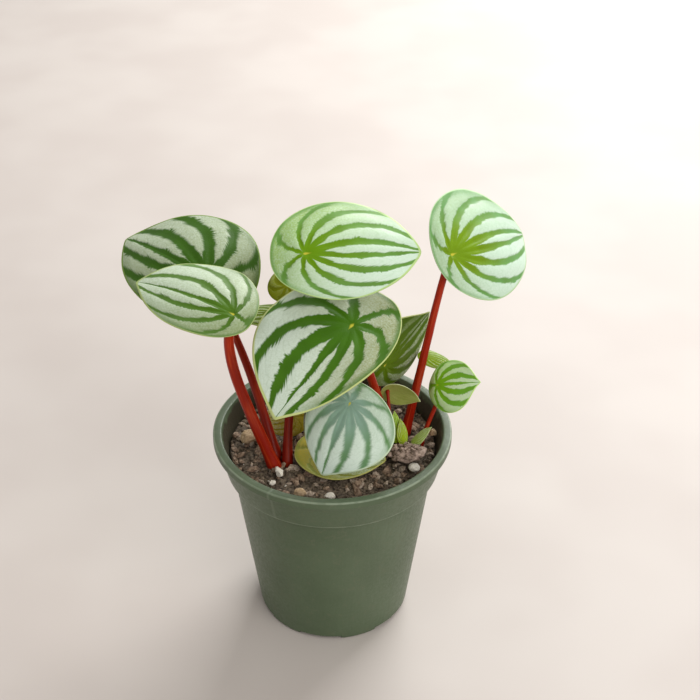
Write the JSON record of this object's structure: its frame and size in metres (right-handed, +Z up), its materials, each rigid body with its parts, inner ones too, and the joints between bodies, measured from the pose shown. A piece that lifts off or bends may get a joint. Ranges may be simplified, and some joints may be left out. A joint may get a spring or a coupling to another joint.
{
  "type": "potted peperomia",
  "caption": "Watermelon peperomia house plant with round silver-striped leaves on red stalks, growing from soil in a round green plastic nursery pot",
  "frame": {"origin": "centre of the pot's flat base, on the plane that the pot stands on", "axes": "+Z up along the pot's axis; +X to the right seen from the front; -Y is the front, where the largest leaf hangs over the rim"},
  "size_m": [0.1784, 0.1309, 0.1856],
  "materials": {
    "pot_plastic": "satin injection-moulded nursery pot plastic",
    "peat": "coarse damp peat with bark",
    "red_stalk": "smooth, juicy red leaf stalk",
    "silver_leaf": "thick satin leaf, green bands on silver",
    "young_leaf": "thin bright new leaf",
    "old_leaf": "yellowed old leaf",
    "stone": "pale perlite and tan bark grains"
  },
  "bodies": {
    "root": {"pot": "pot_plastic", "soil": "peat", "crown_left": "red_stalk", "crown_right": "red_stalk", "stalk_top_centre": "red_stalk", "stalk_front": "red_stalk", "stalk_low_front": "red_stalk", "stalk_left": "red_stalk", "stalk_back_left": "red_stalk", "stalk_right": "red_stalk", "stalk_small_right": "red_stalk", "stalk_inner_right": "red_stalk", "stalk_young_right": "red_stalk", "stalk_inner_back": "red_stalk", "stalk_inner_left": "red_stalk", "stalk_far_right": "red_stalk", "stalk_under_front": "red_stalk", "blade_top_centre": "silver_leaf", "blade_front": "silver_leaf", "blade_low_front": "silver_leaf", "blade_left": "silver_leaf", "blade_back_left": "silver_leaf", "blade_right": "silver_leaf", "blade_small_right": "silver_leaf", "blade_inner_right": "silver_leaf", "blade_young_right": "silver_leaf", "blade_inner_back": "silver_leaf", "blade_inner_left": "silver_leaf", "blade_under_front": "silver_leaf", "blade_far_right": "young_leaf", "blade_sprout_a": "young_leaf", "blade_sprout_b": "young_leaf", "blade_sprout_c": "young_leaf", "blade_old": "old_leaf", "blade_old_small": "old_leaf", "grain_tan_left": "stone", "grain_white_stem": "stone", "grain_small_front": "stone", "grain_tan_front": "stone", "grain_white_front": "stone", "grain_white_right": "stone", "grain_cream_right": "stone", "grain_bark_right": "stone"}
  },
  "joints": []
}
